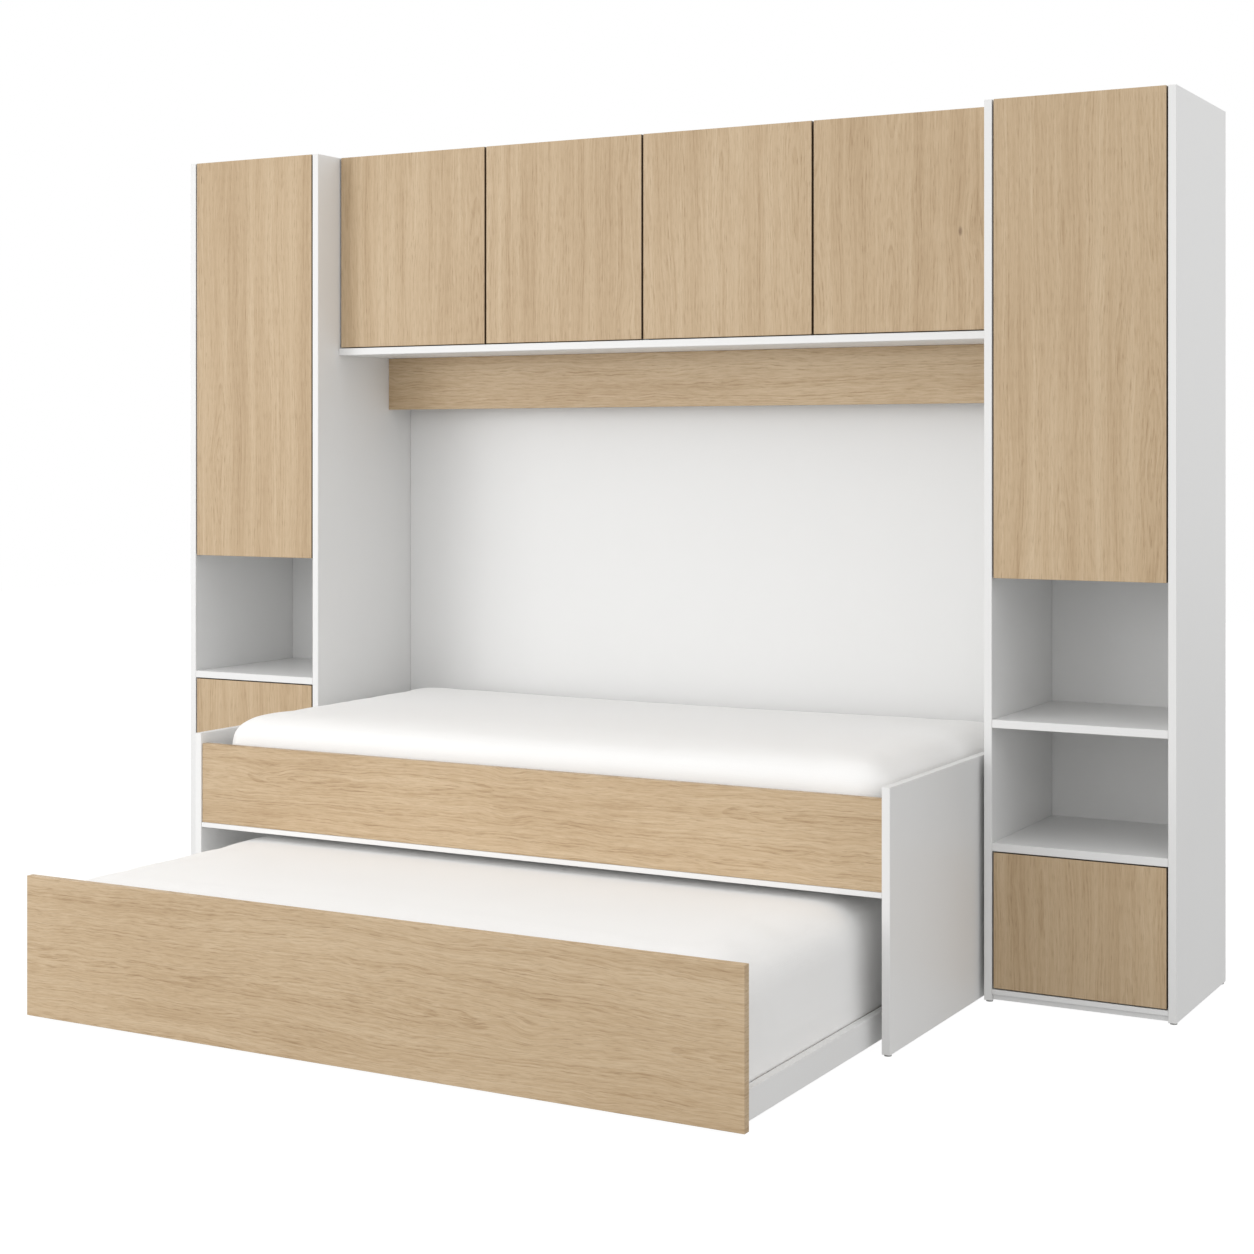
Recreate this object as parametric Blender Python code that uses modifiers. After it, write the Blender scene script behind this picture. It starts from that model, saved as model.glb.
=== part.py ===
"""Bridge wall bed: two storage towers, an overhead bridge cabinet, a fixed bed and a pull-out trundle bed.

Metres, +Z up, +X to the right, the open front towards -Y. The origin is on the floor, at the centre of
the rectangle that the unit covers with its trundle pulled out as it stands here. Inside this script the
boards are placed in the unit's plan: x = 0 midway between the towers, y = 0 at the towers' front edges,
growing towards the wall, and z = 0 at the floor.
"""

import math

import bmesh
import bpy
from mathutils import Matrix, Vector

# Board stock and fits
BOARD = 0.019  # melamine-faced board of the carcass, doors and fronts
THIN_BOARD = 0.012  # board under the towers' compartments and under the bed
BACK_PANEL = 0.004  # fibreboard backs
DRAWER_WALL = 0.012
DRAWER_FLOOR = 0.008
EDGE_ROUND = 0.0008  # edge banding's rounding
SEAT_GAP = 0.0003  # between pieces that touch
SIDE_GAP = 0.004  # beside an inset door or front
EDGE_GAP = 0.003  # above, below and behind it

# Overall sizes
TOTAL_WIDTH = 2.820
HEIGHT = 2.100
TOWER_WIDTH = 0.450
TOWER_DEPTH = 0.450
GLIDE_HEIGHT = 0.004
GLIDE_RADIUS = 0.008
GLIDE_SUNK = 0.006
GLIDE_INSET = 0.012  # glide's axis from the end of its panel

# Levels in the towers, to the underside of each board
PLINTH_CLEARANCE = 0.006
PLINTH_RECESS = 0.008
FLOOR_LEVEL = 0.019
RIGHT_CUPBOARD_TOP = 0.352
LEFT_DRAWER_DIVIDER = 0.335
NICHE_SHELF = 0.6385
NICHE_CEILING = 0.9865
WARDROBE_SHELF = 1.520
SHELF_SETBACK = 0.010  # hidden shelf's front edge behind the door's back

# Drawers in the left tower
RUNNER_SPACE = 0.013
DRAWER_BACK_SPACE = 0.0267  # behind a drawer's box
DRAWER_RISE = 0.020  # box's underside above the front's lower edge
LOWER_DRAWER_SPACE = 0.099  # box's top edge below the front's
UPPER_DRAWER_SPACE = 0.0795

# Bridge cabinet
BRIDGE_SHELF = 1.549
BRIDGE_SETBACK = 0.0955  # shelf's front edge behind the towers' front
BRIDGE_LIP = 0.005  # shelf past the doors' faces
BRIDGE_DOORS = 4
BRIDGE_DOOR_GAP = 0.006  # between two of its doors
RAIL_HEIGHT = 0.147
RAIL_BACK_SPACE = 0.0907  # behind the rail

# Fixed bed
BED_SIDE_GAP = 0.013  # to the right tower
BED_LEFT_GAP = 0.027  # to the left tower
BED_HEIGHT = 0.570
BED_FRONT_RECESS = 0.004
BASE_BOARD_RECESS = 0.001
BED_FRONT_DROP = 0.0257  # front's top edge below the end panels'
BED_SLAT_HEIGHT = 0.030
MATTRESS_WIDTH = 0.900
MATTRESS_HEIGHT = 0.234
MATTRESS_ROUND = 0.060
MATTRESS_BASE_ROUND = 0.020
MATTRESS_SIDE_GAP = 0.006  # at the right end
MATTRESS_LEFT_GAP = 0.0354
MATTRESS_FRONT_GAP = 0.010
MATTRESS_BACK_GAP = 0.0412

# Trundle
TRUNDLE_OUT = 0.642  # how far it stands out of the bed
TRUNDLE_SIDE_GAP = 0.013  # to the bed's right end panel
TRUNDLE_LEFT_GAP = 0.029
TRUNDLE_CLEARANCE = 0.007
TRUNDLE_TOP_GAP = 0.0115  # front's top edge below the base board
TRUNDLE_SIDE_INSET = 0.017
TRUNDLE_SIDE_LEVEL = 0.015
TRUNDLE_SLAT_HEIGHT = 0.016
TRUNDLE_SIDE_RISE = 0.0055  # above the slats, which holds the mattress in place
TRUNDLE_MATTRESS_HEIGHT = 0.240
TRUNDLE_MATTRESS_GAP = 0.001
TRUNDLE_HEADROOM = 0.0242  # over its mattress, to the base board

# Slatted bases
SLAT_FRAME = 0.050
SLAT_WIDTH = 0.070
SLAT_SPACE = 0.055

# Casters
WHEEL_RADIUS = 0.025
WHEEL_WIDTH = 0.018
WHEEL_ROUND = 0.003
HUB_RADIUS = 0.006
HUB_CLEARANCE = 0.0004
BRACKET_THICKNESS = 0.003
BRACKET_LENGTH = 0.056
WHEEL_HEADROOM = 0.0035  # to the slats above
WHEEL_STANDOFF = 0.002  # between the wheel and the plate, and the wheel and the axle's head
AXLE_HEAD_RADIUS = 0.009
AXLE_HEAD_WIDTH = 0.002
CASTER_INSET = 0.120  # wheel's axle from each end of the side board

# Derived places
BACK_FACE = TOWER_DEPTH - BACK_PANEL
SHELF_BACK = BACK_FACE - SEAT_GAP
BAY_HALF = TOTAL_WIDTH / 2 - TOWER_WIDTH
RAIL_SETBACK = SHELF_BACK - RAIL_BACK_SPACE - BOARD
BED_LENGTH = 2 * BAY_HALF - BED_LEFT_GAP - BED_SIDE_GAP
BED_DEPTH = BED_FRONT_RECESS + 2 * BOARD + MATTRESS_FRONT_GAP + MATTRESS_WIDTH + MATTRESS_BACK_GAP
BED_REACH = BED_DEPTH - SHELF_BACK  # end panels past the towers' front
SHIFT_Y = (TRUNDLE_OUT + BED_REACH - BED_FRONT_RECESS - TOWER_DEPTH) / 2
TRUNDLE_LENGTH = BED_LENGTH - 2 * BOARD - TRUNDLE_LEFT_GAP - TRUNDLE_SIDE_GAP
TRUNDLE_SLAT_LEVEL = 2 * WHEEL_RADIUS + WHEEL_HEADROOM
TRUNDLE_SLAT_TOP = TRUNDLE_SLAT_LEVEL + TRUNDLE_SLAT_HEIGHT
BASE_BOARD_LEVEL = TRUNDLE_SLAT_TOP + SEAT_GAP + TRUNDLE_MATTRESS_HEIGHT + TRUNDLE_HEADROOM
BRIDGE_DOOR_FACE = BRIDGE_SETBACK + BRIDGE_LIP
DOOR_BACK = BOARD + EDGE_GAP

WHITE = ("white_melamine", (0.83, 0.83, 0.82), 0.45, 0.0)
OAK = ("oak_melamine", (0.60, 0.45, 0.28), 0.50, 0.0)
FABRIC = ("mattress_fabric", (0.86, 0.86, 0.85), 0.90, 0.0)
BEECH = ("slat_wood", (0.66, 0.51, 0.33), 0.55, 0.0)
STEEL = ("caster_steel", (0.55, 0.56, 0.57), 0.35, 1.0)
WHEEL = ("wheel_plastic", (0.05, 0.05, 0.055), 0.50, 0.0)


def clear_scene():
    for obj in list(bpy.data.objects):
        bpy.data.objects.remove(obj, do_unlink=True)


def make_collection(name):
    collection = bpy.data.collections.new(name)
    bpy.context.scene.collection.children.link(collection)
    return collection


def make_empty(name, location=(0, 0, 0), parent=None):
    empty = bpy.data.objects.new(name, None)
    empty.empty_display_size = 0.1
    empty.location = location
    empty.parent = parent
    parts.objects.link(empty)
    return empty


def material(finish):
    """The Principled material of a finish, made once."""
    name, colour, roughness, metallic = finish
    found = bpy.data.materials.get(name)
    if found:
        return found
    made = bpy.data.materials.new(name)
    made.use_nodes = True
    shader = made.node_tree.nodes["Principled BSDF"]
    shader.inputs["Base Color"].default_value = (*colour, 1)
    shader.inputs["Roughness"].default_value = roughness
    shader.inputs["Metallic"].default_value = metallic
    return made


def add_object(name, mesh, finish, pivot, parent):
    """A sub-part at its pivot, given in the unit's plan, under an empty that stands at the plan's origin."""
    obj = bpy.data.objects.new(name, mesh)
    mesh.materials.append(material(finish))
    obj.parent = parent or unit
    obj.location = Vector(pivot) - (parent.location if parent else Vector((0, 0, 0)))
    parts.objects.link(obj)
    return obj


def add_box(mesh_builder, low, high, pivot=(0, 0, 0)):
    """A closed box between two corners, about the pivot."""
    low = Vector(low) - Vector(pivot)
    high = Vector(high) - Vector(pivot)
    size = high - low
    place = Matrix.Translation((low + high) / 2) @ Matrix.Diagonal((*size, 1))
    bmesh.ops.create_cube(mesh_builder, size=1, matrix=place)


def mesh_of(builder, name):
    mesh = bpy.data.meshes.new(name)
    builder.to_mesh(mesh)
    builder.free()
    return mesh


def round_edges(obj, width, segments):
    bevel = obj.modifiers.new("rounded edges", "BEVEL")
    bevel.width = width
    bevel.segments = segments
    bevel.limit_method = "ANGLE"


def board(name, finish, low, high, pivot=None, parent=None):
    """A flat board between two corners, with its edge banding's rounding."""
    pivot = pivot or low
    builder = bmesh.new()
    add_box(builder, low, high, pivot)
    obj = add_object(name, mesh_of(builder, name), finish, pivot, parent)
    round_edges(obj, EDGE_ROUND, 1)
    return obj


def helper(name, builder, owner):
    """A hidden mesh in its owner's own coordinates, for a Boolean."""
    obj = bpy.data.objects.new(name, mesh_of(builder, name))
    obj.parent = owner
    obj.hide_render = True
    obj.display_type = "WIRE"
    cutters.objects.link(obj)
    return obj


def combine(owner, other, operation):
    boolean = owner.modifiers.new(operation.lower(), "BOOLEAN")
    boolean.operation = operation
    boolean.object = other


def standing_panel(name, low, high):
    """An upright panel that stands on a glide near each end of its lower edge."""
    panel = board(name, WHITE, low, high)
    builder = bmesh.new()
    for along in (GLIDE_INSET, high[1] - low[1] - GLIDE_INSET):
        middle = ((high[0] - low[0]) / 2, along, (GLIDE_SUNK - GLIDE_HEIGHT) / 2)
        bmesh.ops.create_cone(
            builder,
            cap_ends=True,
            segments=24,
            radius1=GLIDE_RADIUS,
            radius2=GLIDE_RADIUS,
            depth=GLIDE_HEIGHT + GLIDE_SUNK,
            matrix=Matrix.Translation(middle),
        )
    combine(panel, helper(name + "_glides", builder, panel), "UNION")


def hinged_door(name, low, high, hinge_right):
    """An inset oak door whose origin is its front lower corner on the hinge side, where it turns."""
    board(name, OAK, low, high, pivot=(high[0] if hinge_right else low[0], low[1], low[2]))


def drawer(name, x_range, z_range, space_above):
    """A drawer: an inset oak front, and a box behind it, open at the top.

    The box's top edge is space_above below the front's.
    """
    low_x, high_x = x_range
    low_z, high_z = z_range
    slide = make_empty(name + "_slide", (low_x, 0, low_z), unit)
    board(name + "_front", OAK, (low_x, 0, low_z), (high_x, BOARD, high_z), parent=slide)
    side = RUNNER_SPACE - SIDE_GAP
    low = Vector((low_x + side, BOARD + SEAT_GAP, low_z + DRAWER_RISE))
    high = Vector((high_x - side, BACK_FACE - DRAWER_BACK_SPACE, high_z - space_above))
    box = board(name + "_box", WHITE, low, high, pivot=low, parent=slide)
    size = high - low
    builder = bmesh.new()
    hollow_low = (DRAWER_WALL, DRAWER_WALL, DRAWER_FLOOR)
    hollow_high = (size.x - DRAWER_WALL, size.y - DRAWER_WALL, size.z + DRAWER_WALL)
    add_box(builder, hollow_low, hollow_high)
    combine(box, helper(name + "_hollow", builder, box), "DIFFERENCE")


def tower(side, outer_x, inner_x):
    """The carcass that both towers share. outer_x and inner_x are its two outer faces."""
    left_x = min(outer_x, inner_x)
    right_x = max(outer_x, inner_x)
    names = {outer_x: side + "_tower_outer_side", inner_x: side + "_tower_inner_side"}
    standing_panel(names[left_x], (left_x, 0, GLIDE_HEIGHT), (left_x + BOARD, TOWER_DEPTH, HEIGHT))
    standing_panel(names[right_x], (right_x - BOARD, 0, GLIDE_HEIGHT), (right_x, TOWER_DEPTH, HEIGHT))
    low_x = left_x + BOARD + SEAT_GAP
    high_x = right_x - BOARD - SEAT_GAP

    def shelf(name, front, level, thickness):
        low = (low_x, front, level)
        board(side + "_tower_" + name, WHITE, low, (high_x, SHELF_BACK, level + thickness))

    shelf("bottom", 0, FLOOR_LEVEL, THIN_BOARD)
    shelf("niche_shelf", 0, NICHE_SHELF, BOARD)
    shelf("niche_ceiling", DOOR_BACK, NICHE_CEILING, BOARD)
    shelf("wardrobe_shelf", DOOR_BACK + SHELF_SETBACK, WARDROBE_SHELF, BOARD)
    shelf("top", DOOR_BACK, HEIGHT - BOARD, BOARD)
    board(
        side + "_tower_plinth",
        WHITE,
        (low_x, PLINTH_RECESS, PLINTH_CLEARANCE),
        (high_x, PLINTH_RECESS + BOARD, FLOOR_LEVEL - SEAT_GAP),
    )
    board(side + "_tower_back", WHITE, (low_x, BACK_FACE, FLOOR_LEVEL), (high_x, TOWER_DEPTH, HEIGHT))
    door_low = (left_x + BOARD + SIDE_GAP, 0, NICHE_CEILING)
    door_high = (right_x - BOARD - SIDE_GAP, BOARD, HEIGHT)
    hinged_door(side + "_tower_door", door_low, door_high, outer_x > inner_x)
    return shelf, door_low[0], door_high[0]


def left_tower():
    """The left tower's lower part holds two drawers with a divider board between them."""
    shelf, low_x, high_x = tower("left", -TOTAL_WIDTH / 2, -BAY_HALF)
    shelf("drawer_divider", 0, LEFT_DRAWER_DIVIDER, BOARD)
    lowest = FLOOR_LEVEL + THIN_BOARD + EDGE_GAP
    lower_z = (lowest, LEFT_DRAWER_DIVIDER - EDGE_GAP)
    drawer("lower_drawer", (low_x, high_x), lower_z, LOWER_DRAWER_SPACE)
    upper_z = (LEFT_DRAWER_DIVIDER + BOARD + EDGE_GAP, NICHE_SHELF - EDGE_GAP)
    drawer("upper_drawer", (low_x, high_x), upper_z, UPPER_DRAWER_SPACE)


def right_tower():
    """The right tower has a second open niche, over a cupboard with one door."""
    shelf, low_x, high_x = tower("right", TOTAL_WIDTH / 2, BAY_HALF)
    shelf("cupboard_top", 0, RIGHT_CUPBOARD_TOP, BOARD)
    low = (low_x, 0, FLOOR_LEVEL + THIN_BOARD + EDGE_GAP)
    high = (high_x, BOARD, RIGHT_CUPBOARD_TOP - EDGE_GAP)
    hinged_door("right_tower_cupboard_door", low, high, True)


def bridge():
    """The overhead cabinet between the towers, the rail below it, and the panel at the bed's back."""
    low_x = -BAY_HALF + SEAT_GAP
    high_x = BAY_HALF - SEAT_GAP
    inside = BRIDGE_SHELF + BOARD
    carcass_front = BRIDGE_DOOR_FACE + DOOR_BACK
    board(
        "bridge_shelf",
        WHITE,
        (low_x, BRIDGE_SETBACK, BRIDGE_SHELF),
        (high_x, SHELF_BACK, inside),
    )
    board("bridge_top", WHITE, (low_x, carcass_front, HEIGHT - BOARD), (high_x, SHELF_BACK, HEIGHT))
    uprights = {
        "bridge_left_side": low_x,
        "bridge_partition": -BOARD / 2,
        "bridge_right_side": high_x - BOARD,
    }
    for name, x in uprights.items():
        low = (x, carcass_front, inside + SEAT_GAP)
        board(name, WHITE, low, (x + BOARD, SHELF_BACK, HEIGHT - BOARD - SEAT_GAP))
    board("bridge_back", WHITE, (low_x, BACK_FACE, BRIDGE_SHELF), (high_x, TOWER_DEPTH, HEIGHT))
    pitch = (2 * (BAY_HALF - SIDE_GAP) + BRIDGE_DOOR_GAP) / BRIDGE_DOORS
    for i in range(BRIDGE_DOORS):
        x = -BAY_HALF + SIDE_GAP + i * pitch
        low = (x, BRIDGE_DOOR_FACE, inside + EDGE_GAP)
        high = (x + pitch - BRIDGE_DOOR_GAP, BRIDGE_DOOR_FACE + BOARD, HEIGHT)
        hinged_door(f"bridge_door_{i + 1}", low, high, i % 2 == 1)
    board(
        "bridge_rail",
        OAK,
        (low_x, RAIL_SETBACK, BRIDGE_SHELF - SEAT_GAP - RAIL_HEIGHT),
        (high_x, RAIL_SETBACK + BOARD, BRIDGE_SHELF - SEAT_GAP),
    )
    board(
        "wall_back_panel",
        WHITE,
        (low_x, BACK_FACE, GLIDE_HEIGHT),
        (high_x, TOWER_DEPTH, BRIDGE_SHELF - SEAT_GAP),
    )


def slatted_base(name, low, high, parent=None):
    """A frame with cross slats, cut as a row of slots as wide as fit its length."""
    base = board(name, BEECH, low, high, pivot=low, parent=parent)
    size = Vector(high) - Vector(low)
    pitch = SLAT_WIDTH + SLAT_SPACE
    room = size.x - 2 * SLAT_FRAME + SLAT_WIDTH
    count = int(room // pitch)
    space = room / count - SLAT_WIDTH
    builder = bmesh.new()
    for i in range(count):
        x = SLAT_FRAME + i * (space + SLAT_WIDTH)
        slot_low = (x, SLAT_FRAME, -size.z)
        add_box(builder, slot_low, (x + space, size.y - SLAT_FRAME, 2 * size.z))
    combine(base, helper(name + "_slots", builder, base), "DIFFERENCE")


def mattress(name, low, high, parent=None):
    """A mattress's plain solid: wide soft edges round its top and corners, and tighter ones round its base."""
    builder = bmesh.new()
    add_box(builder, low, high, low)
    share = builder.edges.layers.float.new("bevel_weight_edge")
    for edge in builder.edges:
        at_base = all(vert.co.z < SEAT_GAP for vert in edge.verts)
        edge[share] = MATTRESS_BASE_ROUND / MATTRESS_ROUND if at_base else 1
    obj = add_object(name, mesh_of(builder, name), FABRIC, low, parent)
    round_edges(obj, MATTRESS_ROUND, 4)
    obj.modifiers["rounded edges"].limit_method = "WEIGHT"
    obj.data.shade_smooth()


def bed():
    """The fixed bed between the towers, with the bay for the trundle below its base board."""
    right_x = BAY_HALF - BED_SIDE_GAP
    left_x = right_x - BED_LENGTH
    for name, x in (("bed_left_end", left_x), ("bed_right_end", right_x - BOARD)):
        standing_panel(name, (x, -BED_REACH, GLIDE_HEIGHT), (x + BOARD, SHELF_BACK, BED_HEIGHT))
    low_x = left_x + BOARD + SEAT_GAP
    high_x = right_x - BOARD - SEAT_GAP
    base_top = BASE_BOARD_LEVEL + THIN_BOARD
    low = (low_x, -BED_REACH + BASE_BOARD_RECESS, BASE_BOARD_LEVEL)
    board("bed_base_board", WHITE, low, (high_x, SHELF_BACK, base_top))
    rail_low = base_top + SEAT_GAP
    rail_high = BED_HEIGHT - BED_FRONT_DROP
    front_y = -BED_REACH + BED_FRONT_RECESS
    board("bed_front", OAK, (low_x, front_y, rail_low), (high_x, front_y + BOARD, rail_high))
    board("bed_back_rail", WHITE, (low_x, SHELF_BACK - BOARD, rail_low), (high_x, SHELF_BACK, rail_high))
    slats_low = (low_x, front_y + BOARD + SEAT_GAP, rail_low)
    slats_high = (high_x, SHELF_BACK - BOARD - SEAT_GAP, rail_low + BED_SLAT_HEIGHT)
    slatted_base("bed_slats", slats_low, slats_high)
    low = Vector((low_x + MATTRESS_LEFT_GAP, front_y + BOARD + MATTRESS_FRONT_GAP, slats_high[2] + SEAT_GAP))
    high = Vector((high_x - MATTRESS_SIDE_GAP, low.y + MATTRESS_WIDTH, low.z + MATTRESS_HEIGHT))
    mattress("bed_mattress", low, high)


def wheel(name, hub, parent):
    """A wheel turned about X: a bored disc with rounded shoulders. hub is its centre."""
    half = WHEEL_WIDTH / 2
    bore = HUB_RADIUS + HUB_CLEARANCE
    arc = [math.radians(90 * i / 3) for i in range(4)]
    outer_z = half - WHEEL_ROUND
    outer_x = WHEEL_RADIUS - WHEEL_ROUND
    top = [(outer_x + WHEEL_ROUND * math.sin(a), outer_z + WHEEL_ROUND * math.cos(a)) for a in arc]
    profile = [(bore, half), *top, *[(x, -z) for x, z in reversed(top)], (bore, -half)]
    builder = bmesh.new()
    points = [builder.verts.new((x, 0, z)) for x, z in profile]
    for first, second in zip(points, points[1:] + points[:1]):
        builder.edges.new((first, second))
    obj = add_object(name, mesh_of(builder, name), WHEEL, hub, parent)
    obj.rotation_euler.y = math.radians(90)
    screw = obj.modifiers.new("turned", "SCREW")
    screw.steps = screw.render_steps = 24
    screw.use_smooth_shade = True
    screw.use_merge_vertices = True
    screw.merge_threshold = 1e-5


def caster(corner, side_face, inward, axle_y, parent):
    """A wheel and the bracket that holds it on the inner face of a trundle side board.

    The bracket's plate lies on the board's face, and its pin runs inwards through the wheel to a head.
    """
    plate_start = side_face + inward * SEAT_GAP
    plate_end = plate_start + inward * BRACKET_THICKNESS
    wheel_start = plate_end + inward * WHEEL_STANDOFF
    wheel_end = wheel_start + inward * WHEEL_WIDTH
    head_start = wheel_end + inward * WHEEL_STANDOFF
    head_end = head_start + inward * AXLE_HEAD_WIDTH
    axle = Vector((plate_start, axle_y, WHEEL_RADIUS))
    plate_high = TRUNDLE_SLAT_LEVEL - SEAT_GAP
    low = (min(plate_start, plate_end), axle_y - BRACKET_LENGTH / 2, TRUNDLE_SIDE_LEVEL)
    high = (max(plate_start, plate_end), axle_y + BRACKET_LENGTH / 2, plate_high)
    bracket = board("trundle_bracket_" + corner, STEEL, low, high, pivot=axle, parent=parent)
    overlap = inward * BRACKET_THICKNESS / 2
    turned = (
        (HUB_RADIUS, plate_end - overlap, head_start + inward * AXLE_HEAD_WIDTH / 2),
        (AXLE_HEAD_RADIUS, head_start, head_end),
    )
    for radius, start, end in turned:
        pin = bmesh.new()
        place = Matrix.Translation(((start + end) / 2 - axle.x, 0, 0)) @ Matrix.Rotation(math.pi / 2, 4, "Y")
        bmesh.ops.create_cone(
            pin,
            cap_ends=True,
            segments=24,
            radius1=radius,
            radius2=radius,
            depth=abs(end - start),
            matrix=place,
        )
        combine(bracket, helper(f"{bracket.name}_turned_{radius * 1000:.0f}", pin, bracket), "UNION")
    wheel("trundle_wheel_" + corner, ((wheel_start + wheel_end) / 2, axle_y, WHEEL_RADIUS), parent)


def trundle():
    """The second bed: a tall oak front, low side boards on casters, slats and a mattress."""
    front_y = -BED_REACH + BED_FRONT_RECESS - TRUNDLE_OUT
    right_x = BAY_HALF - BED_SIDE_GAP - BOARD - TRUNDLE_SIDE_GAP
    left_x = right_x - TRUNDLE_LENGTH
    slide = make_empty("trundle_slide", (left_x, front_y, 0), unit)
    low = (left_x, front_y, TRUNDLE_CLEARANCE)
    high = (right_x, front_y + BOARD, BASE_BOARD_LEVEL - TRUNDLE_TOP_GAP)
    board("trundle_front", OAK, low, high, parent=slide)

    side_start = front_y + BOARD + SEAT_GAP
    side_end = side_start + MATTRESS_WIDTH + 2 * TRUNDLE_MATTRESS_GAP + BOARD
    side_top = TRUNDLE_SLAT_TOP + TRUNDLE_SIDE_RISE
    left_inner = left_x + TRUNDLE_SIDE_INSET + BOARD
    right_inner = right_x - TRUNDLE_SIDE_INSET - BOARD
    for name, x in (("trundle_left_side", left_inner - BOARD), ("trundle_right_side", right_inner)):
        low = (x, side_start, TRUNDLE_SIDE_LEVEL)
        board(name, WHITE, low, (x + BOARD, side_end, side_top), parent=slide)
    low_x = left_inner + SEAT_GAP
    high_x = right_inner - SEAT_GAP
    low = (low_x, side_end - BOARD, TRUNDLE_SIDE_LEVEL)
    board("trundle_back_rail", WHITE, low, (high_x, side_end, side_top), parent=slide)

    slats_low = (low_x, side_start, TRUNDLE_SLAT_LEVEL)
    slats_high = (high_x, side_end - BOARD - SEAT_GAP, TRUNDLE_SLAT_TOP)
    slatted_base("trundle_slats", slats_low, slats_high, slide)
    inset = TRUNDLE_MATTRESS_GAP
    low = Vector((low_x + inset, side_start + inset, slats_high[2] + SEAT_GAP))
    high = Vector((high_x - inset, low.y + MATTRESS_WIDTH, low.z + TRUNDLE_MATTRESS_HEIGHT))
    mattress("trundle_mattress", low, high, slide)

    for end, axle_y in (("front", side_start + CASTER_INSET), ("back", side_end - CASTER_INSET)):
        caster(end + "_left", left_inner, 1, axle_y, slide)
        caster(end + "_right", right_inner, -1, axle_y, slide)


clear_scene()
parts = make_collection("bridge_wall_bed")
cutters = make_collection("cutters")
unit = make_empty("unit", (0, SHIFT_Y, 0))
left_tower()
right_tower()
bridge()
bed()
trundle()
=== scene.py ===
"""Looks of the bridge wall bed: two towers, an overhead cabinet, a fixed bed and a pull-out trundle bed.

Every board is a CAD node and keeps its place. This script gives the boards their laminate, slat wood, steel
and plastic, puts soft mattresses where the CAD model has plain blocks, and adds the small fittings that the
CAD model leaves out: hinges, drawer runners, push latches, shelf pins, screws and nails. Metres, +Z up, front
towards -Y.
"""

import math

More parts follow.
